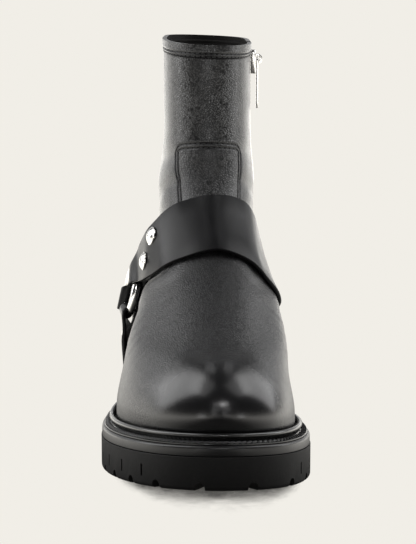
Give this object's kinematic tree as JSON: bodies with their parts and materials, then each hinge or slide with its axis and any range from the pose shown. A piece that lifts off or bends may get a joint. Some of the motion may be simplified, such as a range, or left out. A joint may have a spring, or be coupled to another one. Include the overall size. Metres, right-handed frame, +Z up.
{
  "type": "harness ankle boot",
  "caption": "Ankle boot with a lugged sole, block heel and medial zip; straps from the instep, side and heel meet at a metal harness ring on the lateral side.",
  "frame": {"origin": "on the floor under the middle of the boot's outline", "axes": "+Z up, the toe points along -Y, +X is the medial side with the zip"},
  "size_m": [0.1088, 0.2827, 0.2226],
  "materials": {
    "leather": "black grained leather, semi-gloss",
    "strap_leather": "black smooth leather, satin",
    "sole_rubber": "black moulded rubber",
    "midsole": "dark grey rubber band, satin",
    "insole": "dark lining cloth over board",
    "nickel": "polished nickel"
  },
  "bodies": {
    "boot": {"upper": "leather", "vamp_tongue": "leather", "instep_strap": "strap_leather", "heel_strap": "strap_leather", "side_strap": "strap_leather", "welt": "sole_rubber", "midsole": "midsole", "outsole": "sole_rubber", "heel": "sole_rubber", "insole": "insole", "rivet_instep_low": "nickel", "rivet_instep_high": "nickel", "rivet_side": "nickel", "rivet_heel_front": "nickel", "rivet_heel_back": "nickel", "zip_chain": "nickel", "zip_slider": "nickel"},
    "ring": {"harness_ring": "nickel"},
    "pull": {"zip_pull": "nickel"}
  },
  "joints": [
    {"name": "ring_turn", "type": "hinge", "parent": "boot", "child": "ring", "pos_m": [-0.041, 0.03187, 0.0825], "axis": [-0.9633, -0.1699, 0.2079], "continuous": true},
    {"name": "pull_swing", "type": "hinge", "parent": "boot", "child": "pull", "pos_m": [0.03, 0.074, 0.2095], "axis": [0.0238, -0.9997, -0.0002], "range_deg": [0, 165]}
  ]
}
